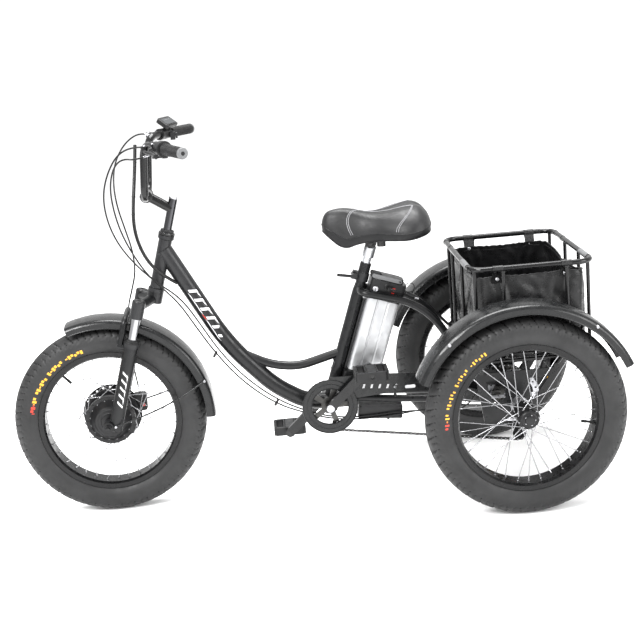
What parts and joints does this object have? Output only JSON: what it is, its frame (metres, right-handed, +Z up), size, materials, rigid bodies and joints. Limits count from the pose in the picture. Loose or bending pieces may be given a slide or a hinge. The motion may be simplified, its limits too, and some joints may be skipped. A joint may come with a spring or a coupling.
{
  "type": "electric adult tricycle",
  "caption": "Electric adult tricycle with a step-through frame, sprung front fork with hub motor, fat tyres, and a lined wire basket between the rear wheels",
  "frame": {"origin": "on the floor under the middle of the bounding box, in the mid-plane between the rear wheels", "axes": "+X runs to the rear along the length, -Y is the side with the chain, +Z is up"},
  "size_m": [1.7978, 0.786, 1.1627],
  "materials": {
    "frame_paint": "satin charcoal black",
    "black_steel": "satin black",
    "steel": "brushed",
    "chrome": "polished",
    "alloy": "anodised silver",
    "black_alloy": "gloss black",
    "tyre": "matt with moulded tread",
    "grip_rubber": "soft matt",
    "black_plastic": "fine grained",
    "grey_plastic": "smooth",
    "saddle_cover": "pebbled with pale stitching",
    "liner_cloth": "coated weave",
    "cable": "satin sheath"
  },
  "bodies": {
    "frame": {"head_tube": "frame_paint", "down_tube": "frame_paint", "step_tube": "frame_paint", "seat_tube": "frame_paint", "rear_stays": "frame_paint", "rear_subframe": "frame_paint", "basket_frame": "black_steel", "basket_liner": "liner_cloth", "rear_fenders": "black_steel", "chain_guard": "black_plastic", "chain": "steel", "controller_box": "black_plastic", "battery_dock": "black_plastic", "rear_caliper": "black_alloy", "derailleur_body": "alloy", "rear_cables": "cable", "wiring_harness": "cable", "charge_lead": "cable"},
    "steering": {"fork_crown": "black_alloy", "stanchions": "chrome", "quill_stem": "chrome", "handlebar": "black_alloy", "grips": "grip_rubber", "bar_controls": "black_plastic", "display": "grey_plastic", "front_brake_cable": "cable"},
    "fork_sliders": {"fork_lowers": "black_alloy", "front_fender": "black_plastic", "front_caliper": "black_alloy", "front_axle": "steel"},
    "front_wheel": {"front_hub_motor": "black_alloy", "front_spokes": "steel", "front_rim": "black_alloy", "front_tyre": "tyre"},
    "rear_wheel_near": {"rear_hub_near": "alloy", "rear_spokes_near": "steel", "rear_rim_near": "black_alloy", "rear_tyre_near": "tyre"},
    "rear_wheel_far": {"rear_hub_far": "alloy", "rear_spokes_far": "steel", "rear_rim_far": "black_alloy", "rear_tyre_far": "tyre"},
    "crank": {"crank_arms": "black_alloy", "chainring": "black_steel"},
    "pedal_near_body": {"pedal_near": "black_plastic"},
    "pedal_far_body": {"pedal_far": "black_plastic"},
    "cassette_body": {"cassette": "steel"},
    "derailleur_arm": {"derailleur_cage": "alloy"},
    "seat": {"seat_post": "black_steel", "saddle_frame": "black_steel", "saddle": "saddle_cover"},
    "seat_lever_body": {"seat_lever": "black_steel"},
    "battery": {"battery_case": "alloy", "battery_cap": "black_plastic"},
    "battery_grip": {"battery_handle": "grey_plastic"},
    "lever_near": {"brake_lever_near": "alloy"},
    "lever_far": {"brake_lever_far": "alloy"},
    "throttle": {"throttle_sleeve": "grip_rubber"},
    "shifter": {"shift_lever": "black_plastic"},
    "mode_button": {"mode_rocker": "grey_plastic"}
  },
  "joints": [
    {"name": "steering", "type": "hinge", "parent": "frame", "child": "steering", "pos_m": [-0.43037, 0, 0.68005], "axis": [0.2823, 0, 0.9593], "range_deg": [-45, 45], "deforming": ["rear_cables", "wiring_harness"]},
    {"name": "fork_travel", "type": "slide", "parent": "steering", "child": "fork_sliders", "axis": [0.2823, 0, 0.9593], "range_m": [0, 0.04], "stiffness_N_per_m": 15000, "springref_m": -0.03, "deforming": ["front_brake_cable"]},
    {"name": "front_wheel_spin", "type": "hinge", "parent": "fork_sliders", "child": "front_wheel", "pos_m": [-0.60896, 0, 0.29], "axis": [0, 1, 0], "continuous": true},
    {"name": "rear_wheel_near_spin", "type": "hinge", "parent": "frame", "child": "rear_wheel_near", "pos_m": [0.59504, -0.339, 0.29], "axis": [0, 1, 0], "continuous": true},
    {"name": "rear_wheel_far_spin", "type": "hinge", "parent": "frame", "child": "rear_wheel_far", "pos_m": [0.59504, 0.339, 0.29], "axis": [0, 1, 0], "continuous": true},
    {"name": "crank_spin", "type": "hinge", "parent": "frame", "child": "crank", "pos_m": [0.05504, 0, 0.28], "axis": [0, 1, 0], "continuous": true},
    {"name": "pedal_near_spin", "type": "hinge", "parent": "crank", "child": "pedal_near_body", "pos_m": [0.17937, -0.138, 0.39594], "axis": [0, 1, 0], "continuous": true},
    {"name": "pedal_far_spin", "type": "hinge", "parent": "crank", "child": "pedal_far_body", "pos_m": [-0.06929, 0.128, 0.16406], "axis": [0, 1, 0], "continuous": true},
    {"name": "cassette_spin", "type": "hinge", "parent": "frame", "child": "cassette_body", "pos_m": [0.59504, -0.06, 0.29], "axis": [0, 1, 0], "continuous": true},
    {"name": "derailleur_swing", "type": "hinge", "parent": "frame", "child": "derailleur_arm", "pos_m": [0.60804, -0.05, 0.186], "axis": [0, 1, 0], "range_deg": [-10, 10], "stiffness_Nm_per_rad": 2, "deforming": ["chain"]},
    {"name": "seat_height", "type": "slide", "parent": "frame", "child": "seat", "axis": [0.3256, 0, 0.9455], "range_m": [-0.015, 0.12]},
    {"name": "seat_release", "type": "hinge", "parent": "frame", "child": "seat_lever_body", "pos_m": [0.16115, 0, 0.66651], "axis": [0, 1, 0], "range_deg": [0, 110]},
    {"name": "battery_lift", "type": "slide", "parent": "frame", "child": "battery", "axis": [0.3256, 0, 0.9455], "range_m": [0, 0.045], "deforming": ["charge_lead"]},
    {"name": "battery_handle_lift", "type": "hinge", "parent": "battery", "child": "battery_grip", "pos_m": [0.29448, 0, 0.63752], "axis": [0, 1, 0], "range_deg": [0, 45]},
    {"name": "brake_near_pull", "type": "hinge", "parent": "steering", "child": "lever_near", "pos_m": [-0.40689, -0.19305, 1.10991], "axis": [0, 0, 1], "range_deg": [0, 12], "stiffness_Nm_per_rad": 1},
    {"name": "brake_far_pull", "type": "hinge", "parent": "steering", "child": "lever_far", "pos_m": [-0.41647, 0.17438, 1.11057], "axis": [0, 0, -1], "range_deg": [0, 12], "stiffness_Nm_per_rad": 1},
    {"name": "throttle_twist", "type": "hinge", "parent": "steering", "child": "throttle", "pos_m": [-0.34425, -0.24107, 1.11223], "axis": [-0.4563, 0.8893, 0.0312], "range_deg": [0, 60], "stiffness_Nm_per_rad": 0.3},
    {"name": "gear_shift", "type": "hinge", "parent": "steering", "child": "shifter", "pos_m": [-0.37949, -0.1646, 1.08891], "axis": [0, 0, 1], "range_deg": [-20, 20]},
    {"name": "mode_rocker_press", "type": "hinge", "parent": "steering", "child": "mode_button", "pos_m": [-0.33607, 0.19661, 1.10579], "axis": [0, 1, 0], "range_deg": [-6, 6], "stiffness_Nm_per_rad": 0.05}
  ],
  "couplings": [
    {"joint": "cassette_spin", "follows": "crank_spin", "ratio": 1.1875}
  ]
}
